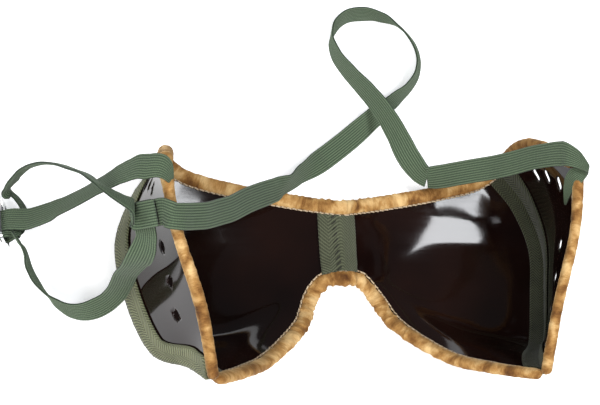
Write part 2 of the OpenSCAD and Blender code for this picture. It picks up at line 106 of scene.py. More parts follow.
# Meshes, made from points in millimetres
def newObject(name, verts, faces, uvs=None):
    mesh = bpy.data.meshes.new(name)
    mesh.from_pydata([tuple(p) for p in np.asarray(verts, float) * 0.001], [], faces)
    if uvs is not None:
        layer = mesh.uv_layers.new(name="UVMap")
        layer.data.foreach_set("uv", np.asarray(uvs, np.float32).ravel())
    work = bmesh.new()
    work.from_mesh(mesh)
    bmesh.ops.recalc_face_normals(work, faces=work.faces)
    for f in work.faces:
        f.smooth = True
    work.to_mesh(mesh)
    work.free()
    obj = bpy.data.objects.new(name, mesh)
    scene.collection.objects.link(obj)
    return obj


# A closed surface through rings of points; across and down give the UV in metres
def loft(name, rings, across, down, caps=True):
    rings = np.asarray(rings, float)
    n, m = rings.shape[:2]
    faces, uvs = [], []
    for i in range(n - 1):
        near, far = down[i], down[i + 1]
        for j in range(m):
            k = (j + 1) % m
            faces.append((i * m + j, i * m + k, (i + 1) * m + k, (i + 1) * m + j))
            uvs += [(across[j], near), (across[j + 1], near), (across[j + 1], far), (across[j], far)]
    if caps:
        for i in (0, n - 1):
            faces.append(tuple(i * m + j for j in range(m)))
            uvs += [(across[j], down[i]) for j in range(m)]
    return newObject(name, rings.reshape(-1, 3), faces, uvs)


# U over a strip's face and back along its other side, in metres
def thereAndBack(width, count):
    there = list(np.linspace(0, width, count))
    return np.array(there + there[::-1] + [0.0])


def lengths(points):
    steps = np.linalg.norm(np.diff(points, axis=0), axis=1)
    return np.concatenate([[0], np.cumsum(steps)])


# The direction of a line at one of its points
def heading(points, i):
    return unit(points[min(i + 1, len(points) - 1)] - points[max(i - 1, 0)])


# Points at the places wanted, between points whose places are known
def pickAt(wanted, known, points):
    return np.array([np.interp(wanted, known, points[:, c]) for c in range(3)]).T


def paint(obj, material):
    obj.data.materials.clear()
    obj.data.materials.append(material)
    return obj


# A short way to lay out a material's nodes
class Net:
    def __init__(self, name):
        self.material = bpy.data.materials.new(name)
        self.material.use_nodes = True
        self.tree = self.material.node_tree
        self.shader = self.tree.nodes["Principled BSDF"]

    def add(self, kind, inputs=(), **values):
        node = self.tree.nodes.new(kind)
        for key, value in values.items():
            setattr(node, key, value)
        for key, value in dict(inputs).items():
            self.put(node.inputs[key], value)
        return node

    def put(self, socket, value):
        if isinstance(value, bpy.types.NodeSocket):
            self.tree.links.new(value, socket)
        else:
            socket.default_value = value

    def math(self, kind, a, b=0.0, c=0.0):
        return self.add("ShaderNodeMath", {0: a, 1: b, 2: c}, operation=kind).outputs[0]

    def wave(self, value, pitch):
        return self.math("SINE", self.math("MULTIPLY", value, 2 * math.pi / pitch))

    # The sum of several values, each with its share
    def weigh(self, *parts):
        total = self.math("MULTIPLY", *parts[-1])
        for value, share in parts[-2::-1]:
            total = self.math("MULTIPLY_ADD", value, share, total)
        return total

    def noise(self, where, scale, detail=3.0, rough=0.5, distort=0.0):
        node = self.add("ShaderNodeTexNoise", {"Vector": where, "Scale": scale, "Detail": detail,
                                               "Roughness": rough, "Distortion": distort})
        return node.outputs["Fac"]

    def stretch(self, where, scale, turn=(0, 0, 0)):
        return self.add("ShaderNodeMapping", {"Vector": where, "Scale": scale, "Rotation": turn}).outputs[0]

    def ramp(self, value, stops):
        node = self.add("ShaderNodeValToRGB", {"Fac": value})
        band = node.color_ramp.elements
        while len(band) < len(stops):
            band.new(0.5)
        for e, (at, colour) in zip(band, stops):
            e.position = at
            e.color = (*colour, 1)
        return node.outputs["Color"]

    def mix(self, share, a, b):
        node = self.add("ShaderNodeMix", data_type="RGBA", blend_type="MIX")
        self.put(node.inputs[0], share)
        self.put(node.inputs[6], a)
        self.put(node.inputs[7], b)
        return node.outputs[2]

    def bump(self, height, strength, distance, under=None):
        node = self.add("ShaderNodeBump", {"Height": height, "Strength": strength, "Distance": distance})
        if under is not None:
            self.put(node.inputs["Normal"], under)
        return node.outputs["Normal"]

    def finish(self, **values):
        for key, value in values.items():
            self.put(self.shader.inputs[key.replace("_", " ")], value)
        return self.material


def uvOf(net):
    return net.add("ShaderNodeTexCoord").outputs["UV"]


def placeOf(net):
    return net.add("ShaderNodeTexCoord").outputs["Object"]


# Woven elastic: U runs across the band and V along it, in metres; its colour carries painted shade in the
# grooves between the ribs
elasticLook = {"rib": 0.00095, "row": 0.0007, "slant": 0.0011, "blots": 70.0, "fuzz": 2600.0, "worn": 0.22}


def elasticMaterial(s):
    net = Net("elasticWeave")
    uv = net.add("ShaderNodeSeparateXYZ", {0: uvOf(net)})
    across, along = uv.outputs[0], uv.outputs[1]
    place = placeOf(net)
    rib = net.math("ABSOLUTE", net.math("SINE", net.math("MULTIPLY", across, math.pi / s["rib"])))
    row = net.wave(along, s["row"])
    leaning = net.math("MULTIPLY", across, 2 * math.pi / s["row"])
    slant = net.math("SINE", net.math("MULTIPLY_ADD", along, 2 * math.pi / s["slant"], leaning))
    thread = net.weigh((row, 0.25), (slant, 0.2))
    blot = net.noise(place, s["blots"], 3.0, 0.6)
    fuzz = net.noise(place, s["fuzz"], 2.0, 0.7)
    # Painted shade: the colour falls towards near black in the grooves between the ribs
    grooveShade = net.math("POWER", rib, 0.9)
    shade = net.weigh((grooveShade, 0.62), (fuzz, 0.3), (thread, 0.12))
    base = net.ramp(shade, [(0.12, (0.007, 0.012, 0.007)), (0.42, (0.040, 0.068, 0.037)),
                            (0.72, (0.108, 0.158, 0.090)), (1.0, (0.210, 0.260, 0.165))])
    worn = net.mix(net.math("MULTIPLY", blot, s["worn"]), base, (0.090, 0.118, 0.078, 1))
    height = net.weigh((rib, 0.7), (fuzz, 0.25), (thread, 1.0))
    return net.finish(Base_Color=worn, Roughness=0.78, Normal=net.bump(height, 0.75, 0.00022),
                      Sheen_Weight=0.12, Sheen_Roughness=0.5, Specular_IOR_Level=0.3)


# Crushed velvet: U runs round the binding and V along it, and the pile lies in patches that catch the light.
# The colour paints that light: golden patches are painted sheen, and the dark patches and crosswise bands are
# painted shade, over the cloth's own uneven tan-brown
velvetLook = {"patch": 120.0, "crush": (75, 150, 1), "strand": (500, 1900, 1), "pile": 2600.0}


def velvetMaterial(s):
    net = Net("crushedVelvet")
    place = placeOf(net)
    patch = net.noise(place, s["patch"], 2.0, 0.5, 0.5)
    crush = net.noise(net.stretch(uvOf(net), s["crush"]), 1.0, 3.0, 0.6, 0.8)
    pile = net.noise(place, s["pile"], 2.0, 0.7)
    strand = net.noise(net.stretch(uvOf(net), s["strand"]), 1.0, 2.0, 0.6)
    # Painted sheen and shade, partly the cloth's own uneven tone: these noises set golden lit patches and
    # dark shaded ones
    pileToneSheenAndShade = net.weigh((patch, 0.46), (crush, 0.44), (strand, 0.10), (pile, 0.10))
    colour = net.ramp(pileToneSheenAndShade, [(0.40, (0.080, 0.028, 0.008)), (0.48, (0.220, 0.098, 0.025)),
                              (0.56, (0.430, 0.230, 0.072)), (0.67, (0.760, 0.510, 0.230))])
    height = net.weigh((crush, 0.9), (strand, 0.18), (pile, 0.22))
    return net.finish(Base_Color=colour, Roughness=0.82, Normal=net.bump(height, 0.7, 0.0009),
                      Sheen_Weight=0.55, Sheen_Roughness=0.32, Sheen_Tint=(1.0, 0.76, 0.42, 1),
                      Specular_IOR_Level=0.2)


# The binding's woven edge: cream, with a tan stitch every two millimetres or so
selvageLook = {"halfStep": 0.0011, "stitchFrom": 0.00082, "fuzz": 2200.0}


def selvageMaterial(s):
    net = Net("creamSelvage")
    uv = net.add("ShaderNodeSeparateXYZ", {0: uvOf(net)})
    step = net.math("PINGPONG", uv.outputs[1], s["halfStep"])
    stitch = net.math("GREATER_THAN", step, s["stitchFrom"])
    fuzz = net.noise(placeOf(net), s["fuzz"], 2.0, 0.7)
    cloth = net.ramp(fuzz, [(0.3, (0.300, 0.200, 0.110)), (0.65, (0.700, 0.570, 0.400))])
    colour = net.mix(net.math("MULTIPLY", stitch, 0.75), cloth, (0.100, 0.052, 0.022, 1))
    height = net.weigh((stitch, -0.6), (fuzz, 0.5))
    return net.finish(Base_Color=colour, Roughness=0.85, Normal=net.bump(height, 0.7, 0.00015),
                      Specular_IOR_Level=0.25)


# Herringbone cotton tape: the twill leans one way and then the other across the tape
tapeLook = {"turn": 0.0030, "twill": 0.00125, "thread": 0.0006, "fuzz": 2400.0, "blots": 120.0}


def tapeMaterial(name, dark, light, s=tapeLook):
    net = Net(name)
    uv = net.add("ShaderNodeSeparateXYZ", {0: uvOf(net)})
    across, along = uv.outputs[0], uv.outputs[1]
    place = placeOf(net)
    zig = net.math("PINGPONG", across, s["turn"])
    twill = net.wave(net.math("MULTIPLY_ADD", zig, 1.1, along), s["twill"])
    fine = net.wave(across, s["thread"])
    fuzz = net.noise(place, s["fuzz"], 2.0, 0.7)
    blot = net.noise(place, s["blots"], 3.0, 0.6)
    shade = net.weigh((twill, 0.24), (fuzz, 0.5), (fine, 0.05), (blot, 0.35))
    middle = tuple((a + b) / 2 for a, b in zip(dark, light))
    colour = net.ramp(shade, [(0.12, dark), (0.42, middle), (0.75, light)])
    height = net.weigh((twill, 0.6), (fuzz, 0.6))
    return net.finish(Base_Color=colour, Roughness=0.85, Normal=net.bump(height, 0.8, 0.00025),
                      Sheen_Weight=0.15, Specular_IOR_Level=0.25)


# Very dark wine-brown celluloid, glossy, a little wavy, with dust and fine scratches
sheetLook = {"wave": 20.0, "dust": 900.0, "smear": 45.0, "tint": 30.0,
             "scratches": (40, 900, 200), "turn": 0.5}


def sheetMaterial(s):
    net = Net("tintedSheet")
    place = placeOf(net)
    wave = net.noise(place, s["wave"], 1.0, 0.3)
    dust = net.noise(place, s["dust"], 3.0, 0.6)
    streak = net.noise(net.stretch(place, s["scratches"], (0, 0, s["turn"])), 1.0, 2.0, 0.5)
    smear = net.noise(place, s["smear"], 2.0, 0.5)
    rough = net.weigh((streak, 0.06), (dust, 0.04), (smear, 0.06))
    tint = net.noise(place, s["tint"], 2.0, 0.5)
    colour = net.ramp(tint, [(0.3, (0.0050, 0.0022, 0.0020)), (0.7, (0.0120, 0.0045, 0.0032))])
    normal = net.bump(wave, 0.10, 0.006, net.bump(dust, 0.02, 0.0002))
    return net.finish(Base_Color=colour, Roughness=rough, Normal=normal, IOR=1.5, Specular_IOR_Level=0.36)


# Plated steel with fine scratches that all run one way
steelLook = {"wear": 900.0, "scratches": (3000, 300, 300)}


def metalMaterial(s):
    net = Net("platedSteel")
    place = placeOf(net)
    wear = net.noise(place, s["wear"], 3.0, 0.6)
    scratch = net.noise(net.stretch(place, s["scratches"]), 1.0, 2.0, 0.6)
    rough = net.math("MULTIPLY_ADD", wear, 0.16, net.math("MULTIPLY_ADD", scratch, 0.12, 0.06))
    colour = net.ramp(wear, [(0.35, (0.52, 0.53, 0.53)), (0.65, (0.82, 0.83, 0.83))])
    return net.finish(Base_Color=colour, Metallic=1.0, Roughness=rough,
                      Normal=net.bump(scratch, 0.03, 0.00005))


threadLook = {"colour": (0.020, 0.019, 0.014), "shade": 0.55, "twist": (2600, 2600, 2600)}


def threadMaterial(s):
    net = Net("darkThread")
    twist = net.noise(net.stretch(placeOf(net), s["twist"]), 1.0, 2.0, 0.6)
    shade = net.ramp(twist, [(0.3, tuple(c * s["shade"] for c in s["colour"])), (0.7, s["colour"])])
    return net.finish(Base_Color=shade, Roughness=0.7, Normal=net.bump(twist, 0.5, 0.0001))


elastic = elasticMaterial(elasticLook)
velvet = velvetMaterial(velvetLook)
selvage = selvageMaterial(selvageLook)
# One herringbone cloth: the inner seam tapes and the bridge's inside tape are darker copies of the outer
# tape, with painted shade for the inside of the goggles
tapeInsideShaded = tapeMaterial("innerHerringboneShaded", (0.006, 0.007, 0.004), (0.075, 0.082, 0.044))
tapeBridgeShaded = tapeMaterial("bridgeHerringboneShaded", (0.040, 0.045, 0.025), (0.120, 0.132, 0.080))
tapeOutside = tapeMaterial("outerHerringbone", (0.045, 0.052, 0.026), (0.270, 0.285, 0.160))
tintedSheet = sheetMaterial(sheetLook)
steel = metalMaterial(steelLook)
darkThread = threadMaterial(threadLook)

# The elastic strap: thick is half its thickness, which falls to the share edge at the band's two sides
print("stage: strap")
strapSet = {"width": 9.5, "ribs": 10, "perRib": 4, "thick": 0.42, "ribHigh": 0.13, "step": 0.85,
            "edge": 0.35, "edgePower": 14}
slideAt = (-130.6, 18.4, 8.8)
slideAxes = axesOf((-0.03, 0.93, -0.36), (0.94, 0.15, 0.3))
loopAt = (-86, 7, 56.5)
loopAxes = axesOf((0.6, 0, 0.8), (-0.19, 0.945, 0.255))


def atSlide(x, y, z):
    return placed(slideAt, slideAxes, (x, y, z))


def slideWay(x, y, z):
    return vec(x, y, z) @ slideAxes


def atLoop(x, y, z):
    return placed(loopAt, loopAxes, (x, y, z))


def loopWay(x, y, z):
    return vec(x, y, z) @ loopAxes


# A smooth line through the route's points, with the band's width direction carried along it
def smoothRoute(route, step):
    p = np.array([r[0] for r in route], float)
    w = np.array([unit(vec(*r[1])) for r in route], float)
    n = len(p)
    outP, outW = [], []
    for i in range(n - 1):
        a = p[i - 1] if i else 2 * p[0] - p[1]
        b, c = p[i], p[i + 1]
        d = p[i + 2] if i < n - 2 else 2 * c - b
        gap = np.linalg.norm(c - b)
        ka = min(1, gap / max(np.linalg.norm(b - a), 1e-6))
        kd = min(1, gap / max(np.linalg.norm(d - c), 1e-6))
        mb = ((c - b) + (b - a) * ka) / 2
        mc = ((c - b) + (d - c) * kd) / 2
        count = max(2, int(round(gap / step)))
        for s in range(count):
            f = s / count
            h00, h10 = 2 * f**3 - 3 * f * f + 1, f**3 - 2 * f * f + f
            h01, h11 = -2 * f**3 + 3 * f * f, f**3 - f * f
            outP.append(h00 * b + h10 * mb + h01 * c + h11 * mc)
            g = f * f * (3 - 2 * f)
            outW.append(unit((1 - g) * w[i] + g * w[i + 1]))
    outP.append(p[-1])
    outW.append(w[-1])
    return np.array(outP), np.array(outW)


def ribSection(s):
    half = s["width"] / 2
    count = s["ribs"] * s["perRib"]
    top, low = [], []
    for k in range(count + 1):
        x = -half + s["width"] * k / count
        rib = abs(math.sin(math.pi * k / s["perRib"]))
        end = s["edge"] + (1 - s["edge"]) * math.sqrt(max(0, 1 - abs(x / half) ** s["edgePower"]))
        t = (s["thick"] + s["ribHigh"] * (rib - 0.5)) * end
        top.append((x, t))
        low.append((x, -t))
    return top + low[::-1]


def bandRings(points, widths, section):
    rings = []
    for i in range(len(points)):
        t = heading(points, i)
        w = unit(squareTo(widths[i], t))
        h = np.cross(t, w)
        rings.append([points[i] + x * w + z * h for x, z in section])
    return np.array(rings)


# Rings between two edge lines, for an end that is folded or tapers
def railRings(low, high, section, step):
    anyWay = (0, 0, 1)
    lowP = smoothRoute([(p, anyWay) for p in low], step)[0]
    highP = smoothRoute([(p, anyWay) for p in high], step)[0]
    wanted = np.linspace(0, len(highP) - 1, len(lowP))
    highP = pickAt(wanted, np.arange(len(highP)), highP)
    mid = (lowP + highP) / 2
    half = strapSet["width"] / 2
    rings = []
    for i in range(len(mid)):
        wide = (highP[i] - lowP[i]) / 2
        h = unit(np.cross(heading(mid, i), unit(wide)))
        rings.append([mid[i] + x / half * wide + z * h for x, z in section])
    return mid, rings


# A length of strap along a route, with its sewn end before or after it given by edge points
def bandMesh(name, route, s=strapSet, start=0.0, before=None, after=None):
    points, widths = route if isinstance(route, tuple) else smoothRoute(route, s["step"])
    section = ribSection(s)
    rings = bandRings(points, widths, section)
    for rails, first in ((before, True), (after, False)):
        if rails is None:
            continue
        k, n = (0, 1) if first else (-1, -2)
        t = unit(points[n] - points[k])
        w = unit(squareTo(widths[k], t)) * s["width"] / 2
        low, high = [p[0] for p in rails], [p[1] for p in rails]
        if first:
            low, high = low + [points[0] - w], high + [points[0] + w]
        else:
            low, high = [points[-1] - w] + low, [points[-1] + w] + high
        mid, more = railRings(low, high, section, s["step"])
        if first:
            points = np.concatenate([mid[:-1], points])
            rings = np.concatenate([more[:-1], rings])
        else:
            points = np.concatenate([points, mid[1:]])
            rings = np.concatenate([rings, more[1:]])
    run = lengths(points)
    across = thereAndBack(s["width"] * 0.001, len(section) // 2)
    obj = loft(name, rings, across, (run + start) * 0.001)
    paint(obj, elastic)
    return obj, points, run[-1]


# The panes' outline and surfaces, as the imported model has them
lift = 2.41189  # raises the goggles until they rest on the table
bridgeTop, noseTop = vec(0, 25.2, 9), vec(0, -2.8, 6.5)
seamTop, templeTop, chinCorner = vec(70, 45.2, 4), vec(78, 27.7, 60.5), vec(61.5, -49.3, 46.5)
topRim = [bridgeTop, vec(13, 28.2, 4), vec(41, 34.2, 0.5), vec(60.5, 39.2, 1), seamTop]
noseRim = [noseTop, vec(7, -2.8, 3.5), vec(13, -9.3, 2), vec(19.5, -22.3, 8), vec(35, -36.8, 19),
           vec(47.5, -43.8, 32.5), chinCorner]
seamLine = [chinCorner, vec(67, -40.8, 32), vec(77, -32.8, 16.5), vec(84, -12.8, 6.5),
            vec(87.5, 10.7, 2.5), vec(81, 30.2, 3.5), seamTop]
bridgeLine = [noseTop, bridgeTop]
lensBow = 3.5
probe = 0.002  # how far to either side a surface's slope is measured
# The soft side panes don't lie quite alike: the left one's temple corner has sagged
sideShape = {1: {"corner": templeTop, "rim": vec(73, 46.2, 29.5)},
             -1: {"corner": vec(78, 24.6, 60), "rim": vec(73, 38.6, 29.5)}}
wing = {}


def useWing(flip):
    corner = sideShape[flip]["corner"]
    wing["corner"] = corner
    wing["rim"] = [seamTop, sideShape[flip]["rim"], corner]
    wing["temple"] = [chinCorner, vec(66.5, -24.8, 53.5), vec(75, 3.2, 57.5), corner]


# A curve through the line's points, at the share t of its length in points
def along(line, t):
    n = len(line) - 1
    s = t * n
    i = max(0, min(int(math.floor(s)), n - 1))
    f = s - i
    b, c = line[i], line[i + 1]
    a = line[i - 1] if i > 0 else 2 * b - c
    d = line[i + 2] if i < n - 1 else 2 * c - b
    return (2 * b + (c - a) * f + (2 * a - 5 * b + 4 * c - d) * f * f + (3 * b - a - 3 * c + d) * f**3) / 2


def front(u, v):
    edges = ((1 - v) * along(noseRim, u) + v * along(topRim, u)
             + (1 - u) * along(bridgeLine, v) + u * along(seamLine, v))
    corners = ((1 - u) * (1 - v) * noseTop + (1 - u) * v * bridgeTop
               + u * (1 - v) * chinCorner + u * v * seamTop)
    bow = lensBow * 16 * u * (1 - u) * v * (1 - v)  # lensBow in the pane's middle
    return edges - corners + vec(0, 0, bow)


def side(u, v):
    return ((1 - u) * along(seamLine, v) + u * along(wing["temple"], v)
            + v * (along(wing["rim"], u) - (1 - u) * seamTop - u * wing["corner"]))


# Pane 0 is the front pane and pane 1 the side pane
def pane(k, u, v):
    return front(u, v) if k == 0 else side(u, v)


def acrossOf(k, u, v):
    return (pane(k, u + probe, v) - pane(k, u - probe, v)) / (2 * probe)


def upwardOf(k, u, v):
    return (pane(k, u, v + probe) - pane(k, u, v - probe)) / (2 * probe)


def inward(k, u, v):
    return unit(np.cross(acrossOf(k, u, v), upwardOf(k, u, v)))


def off(k, u, v, d):
    return pane(k, u, v) + d * inward(k, u, v)


def stepU(k, u, v, mm):
    return mm / np.linalg.norm(squareTo(acrossOf(k, u, v), unit(upwardOf(k, u, v))))


def stepV(k, u, v, mm):
    return mm / np.linalg.norm(squareTo(upwardOf(k, u, v), unit(acrossOf(k, u, v))))


# Lifts points to the table's level, and mirrors them for the left half
def lifted(points, s=1):
    p = np.asarray(points, float) * vec(s, 1, 1)
    return p + vec(0, 0, lift)


# The strap's routes: each point goes with the direction of the band's width there
shortRoute = [
    ((-84.6, 21.8, 65.6), (0, 0.98, -0.12)), ((-87.4, 22.6, 63.2), (0.05, 0.97, -0.2)),
    ((-90.3, 22.3, 59.9), (0.1, 0.93, -0.3)),
    ((-93.5, 21.7, 56.5), (0.15, 0.9, -0.35)), ((-96.5, 20.7, 53), (0.2, 0.85, -0.4)),
    ((-99.6, 20, 48.7), (0.2, 0.8, -0.5)), ((-105, 18.9, 40), (0.2, 0.8, -0.55)),
    ((-110.6, 18.3, 31), (0.2, 0.8, -0.5)), ((-114.5, 17.7, 25.5), (0.1, 0.9, -0.4)),
    ((-118.5, 17.5, 20.5), (0.05, 0.92, -0.38)), ((-122.5, 17.4, 16.5), (0, 0.93, -0.36)),
    (atSlide(-1.5, 3, 3), slideWay(1, 0, 0)), (atSlide(-1.5, 3, 0), slideWay(1, 0, 0))]
turnSet = {"side": -1.5, "wide": 3, "deep": 1.3, "low": -1.2}


# The half turn that the strap makes round the slide's bar
def barTurn(deg, s=turnSet):
    a = math.radians(deg)
    return atSlide(s["side"], s["wide"] * math.cos(a), s["low"] - s["deep"] * math.sin(a))


arcEdge = (0.25, 0.3, -0.92)
returnRoute = [(barTurn(deg), slideWay(1, 0, 0)) for deg in range(0, 181, 45)]
returnRoute += [
    (atSlide(-1.5, -3.2, 0.9), slideWay(1, 0, 0)),
    (atSlide(-1.5, -3.9, 3), slideWay(1, -0.2, 0)), (atSlide(-1.2, -4.4, 5.2), slideWay(0.87, -0.5, 0)),
    (atSlide(-0.2, -4.3, 6.9), slideWay(0.68, -0.74, 0)), (atSlide(2.4, -2.6, 8), slideWay(0.6, -0.8, 0)),
    (atSlide(5.6, -0.2, 7.4), slideWay(0.6, -0.8, 0)), (atSlide(8.4, 2, 5.9), slideWay(0.6, -0.8, 0)),
    ((-128.8, 30.2, 10.5), arcEdge), ((-128, 31.5, 15.5), arcEdge), ((-126.4, 32.6, 20.4), arcEdge),
    ((-123.8, 33.7, 25.4), arcEdge), ((-120.5, 33.7, 30.5), arcEdge), ((-116.9, 32.6, 35.6), arcEdge),
    ((-113.1, 30.2, 41.2), arcEdge), ((-109.1, 26.5, 47.7), arcEdge), ((-105, 22.2, 54.6), arcEdge),
    ((-101.2, 16.7, 61), arcEdge), ((-98.3, 14.2, 62.2), (0.22, 0.45, -0.87)),
    ((-94, 11.1, 63), (0.18, 0.57, -0.8)), ((-89.8, 8.6, 62.6), (0.12, 0.73, -0.67)),
    (atLoop(-0.6, -3.4, 0), (0, 0.92, -0.3)),
    (atLoop(2.5, -2.9, 0), loopWay(0, 0, 1)), (atLoop(6, -2.8, 0), loopWay(0, 0, 1)),
    (atLoop(8.8, -2.1, 0), loopWay(0, 0, 1))]
lowerRoute = [
    (atLoop(1, 0, 5), loopWay(-1, 0, 0)), (atLoop(1, 0, 0), loopWay(-1, 0, 0)),
    (atLoop(0.8, 0, -5), loopWay(-1, 0, 0)), (atLoop(0.3, 0.2, -8), loopWay(-1, 0, 0)),
    ((-84.7, -3.6, 52), (-0.75, 0.2, -0.55)),
    ((-85.9, -6, 47.5), (-0.9, 0.2, -0.3)), ((-87, -6.9, 41), (-1, 0, 0)),
    ((-87.8, -6.8, 34), (-0.9, 0, 0.3)),
    ((-88.3, -6.9, 27), (-0.8, 0, 0.5)), ((-89, -8.5, 19.5), (-0.75, 0.1, 0.65)),
    ((-91.1, -11.1, 12.5), (-0.8, 0.25, 0.53)), ((-95.1, -13.5, 8.5), (-0.75, 0.4, 0.53)),
    ((-100.6, -15.2, 7), (-0.6, 0.42, 0.65)), ((-106, -14.7, 6.5), (-0.45, 0.38, 0.8)),
    ((-111.1, -12, 6.5), (-0.38, 0.3, 0.86)), ((-115.5, -7.8, 6.5), (-0.33, 0, 0.92)),
    ((-119.1, -3, 7), (-0.25, -0.3, 0.9)), ((-121.3, 1.4, 7.8), (-0.25, -0.3, 0.92)),
    (atSlide(-13.4, -5.8, 5.9), (-0.2, -0.3, 0.93)), (atSlide(-12.2, -2.6, 5.9), (-0.05, -0.3, 0.95)),
    (atSlide(-10.7, -0.5, 5.4), (0, -0.3, 0.95)), (atSlide(-8.3, 0, 4.2), (0.05, -0.3, 0.95))]
leftRoute = [
    (atLoop(7.55, 0, 0), loopWay(0, 0, 1)), (atLoop(10.45, 0, 0), loopWay(0, 0, 1)),
    ((-76.8, 3.7, 67.3), (0, 1, 0)), ((-73.2, 3.8, 66.3), (0.1, 1, 0)),
    ((-68.8, 5.1, 62.5), (0.1, 1, 0.1)), ((-63.3, 6.9, 58), (0, 0.96, 0.25)),
    ((-57.8, 10, 52), (-0.1, 0.95, 0.25)), ((-51.8, 13.4, 46), (-0.15, 0.95, 0.25)),
    ((-43.7, 19.5, 37), (-0.25, 0.92, 0.25)), ((-35.7, 24.9, 28), (-0.3, 0.9, 0.3)),
    ((-28.7, 29.3, 20.5), (-0.25, 0.8, 0.55)), ((-21.9, 33.9, 14.5), (-0.25, 0.2, 0.95)),
    ((-15.2, 39.9, 9.3), (-0.2, 0.6, 0.77)), ((-4.4, 47.9, 4.6), (-0.25, 0.95, 0.2))]
tableLoop = [
    ((8, 57.7, 3.2), (-0.35, 0.9, 0.25)),
    ((19, 67.2, 3.6), (-0.45, 0.7, 0.55)), ((27, 73.7, 5), (-0.48, 0.3, 0.83)),
    ((34, 79.7, 5.3), (-0.45, 0, 0.89)), ((38.7, 86.2, 5.3), (-0.45, -0.1, 0.89)),
    ((40.3, 93.7, 5.3), (-0.45, -0.25, 0.86)), ((38.5, 101.2, 5.3), (-0.45, -0.3, 0.84)),
    ((33, 108.2, 5.3), (-0.4, -0.3, 0.87)), ((25, 112.2, 5.3), (-0.27, 0, 0.96)),
    ((17, 113.2, 5.3), (-0.25, 0.2, 0.95)), ((10, 111.7, 5.3), (-0.27, 0.18, 0.95)),
    ((5, 107.2, 5.3), (-0.3, 0.12, 0.94)), ((2.3, 100.2, 6), (-0.1, 0.1, 0.99)),
    ((4, 92.2, 7.2), (0.05, 0.1, 0.99)), ((9, 83.7, 9), (0.15, 0.2, 0.96)),
    ((15, 74.7, 11.5), (0.33, 0.2, 0.92)), ((20, 66.2, 13.3), (0.4, 0.3, 0.87)),
    ((24.5, 57.2, 13.5), (0.57, 0.28, 0.78)), ((29, 47.2, 13), (0.8, 0.4, 0.45)),
    ((33.5, 40.7, 12.5), (0.6, 0.2, 0.78))]
rightRoute = [
    ((36.4, 38.3, 13), (0.1, 0.5, 0.86)), ((40.6, 37.3, 17.5), (0.05, 0.8, 0.6)),
    ((45.6, 36.5, 24), (0.05, 0.92, 0.35)), ((50.3, 35.9, 29.5), (0.05, 0.94, 0.3)),
    ((54.8, 35.2, 35), (0.05, 0.95, 0.3)), ((58.1, 34.4, 41), (0.1, 0.94, 0.32)),
    ((61.6, 34, 46.5), (0.15, 0.93, 0.33)), ((64.6, 33.6, 52), (0.17, 0.93, 0.33)),
    ((67.4, 32.7, 57.5), (0.18, 0.93, 0.33)), ((69.8, 31.8, 62), (0.15, 0.94, 0.31)),
    ((71.3, 31, 64.8), (0.1, 0.95, 0.3))]
# Edge points of the strap's sewn ends, each a lower and an upper one, in the order of the strap
leftEnd = [((-76.2, 14.4, 56), (-76.2, 14.8, 56.6)), ((-76.2, 14.8, 60), (-76.1, 15.6, 61.2)),
           ((-76.8, 15.9, 63.4), (-75.9, 19.6, 65.6)), ((-78.3, 16.6, 65.6), (-76.5, 23, 67.6)),
           ((-80.4, 17.2, 66.9), (-78.7, 25.3, 68.2)), ((-82.2, 17.5, 66.9), (-82, 26.2, 67.4))]
rightEnd = [((71.2, 25.5, 66.5), (72.9, 34.2, 67.6)), ((73.9, 24.1, 68.6), (76.2, 30.5, 69.3)),
            ((77.2, 22.9, 69), (77.9, 26.9, 70)), ((79, 22.3, 67.8), (79.3, 24.7, 68.8)),
            ((79, 21.3, 66), (77.5, 25.5, 66.4)), ((77.4, 19.4, 64.5), (74.3, 25.4, 64.4)),
            ((76.2, 18.2, 61), (73.5, 23.5, 60.7)), ((75.8, 16.4, 57.2), (74.2, 20.2, 56.7)),
            ((75.8, 14.5, 53.7), (75.2, 14.9, 53.4))]


print("stage: strap pieces")
shortObj, shortPts, shortLen = bandMesh("strapShort", shortRoute + returnRoute[:1], before=leftEnd)
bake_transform(shortObj)
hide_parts("strap_tab_left", "strap_short")
returnObj, returnPts, returnLen = bandMesh("strapArc", returnRoute, start=shortLen)
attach(returnObj, "left_half")
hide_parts("strap_return")
lowerObj, lowerPts, lowerLen = bandMesh("strapLower", lowerRoute, start=shortLen + returnLen)
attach(lowerObj, "left_half")
# The long strap is one smooth line, cut where its pieces change body
wholePts, wholeWays = smoothRoute(leftRoute + tableLoop + rightRoute, strapSet["step"])
leftCut, rightCut = [int(np.argmin(np.linalg.norm(wholePts - vec(*r[0]), axis=1)))
                     for r in (leftRoute[-1], rightRoute[0])]


def stretchOf(first, last):
    return wholePts[first:last], wholeWays[first:last]


longLeftObj, longLeftPts, longLeftLen = bandMesh("strapLongLeft", stretchOf(0, leftCut + 1))
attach(longLeftObj, "left_half")
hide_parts("strap_long_left")
tableObj, tablePts, tableLen = bandMesh("strapTableLoop", stretchOf(leftCut, rightCut + 1), start=longLeftLen)
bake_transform(tableObj)
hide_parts("strap_long_loop")
rightObj, rightPts, rightLen = bandMesh("strapLongRight", stretchOf(rightCut, len(wholePts)),
                                        start=longLeftLen + tableLen, after=rightEnd)
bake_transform(rightObj)
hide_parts("strap_long_right", "strap_tab_right")
print("short strap", round(shortLen + returnLen + lowerLen), "mm")
print("long strap", round(longLeftLen + tableLen + rightLen), "mm")

# The slide, the wrap on its centre bar and the long strap's sewn loop
print("stage: slide")
slide = nodes["slide_frame"]
paint(slide, steel)


# A closed ring of band, given its path and the direction of its width
def ringBand(name, path, way, s=strapSet):
    path = np.array(path + path[:1], float)
    section = ribSection(s)
    rings = bandRings(path, [way] * len(path), section)
    rings[-1] = rings[0]
    across = thereAndBack(s["width"] * 0.001, len(section) // 2)
    obj = loft(name, rings, across, lengths(path) * 0.001, caps=False)
    return paint(obj, elastic)


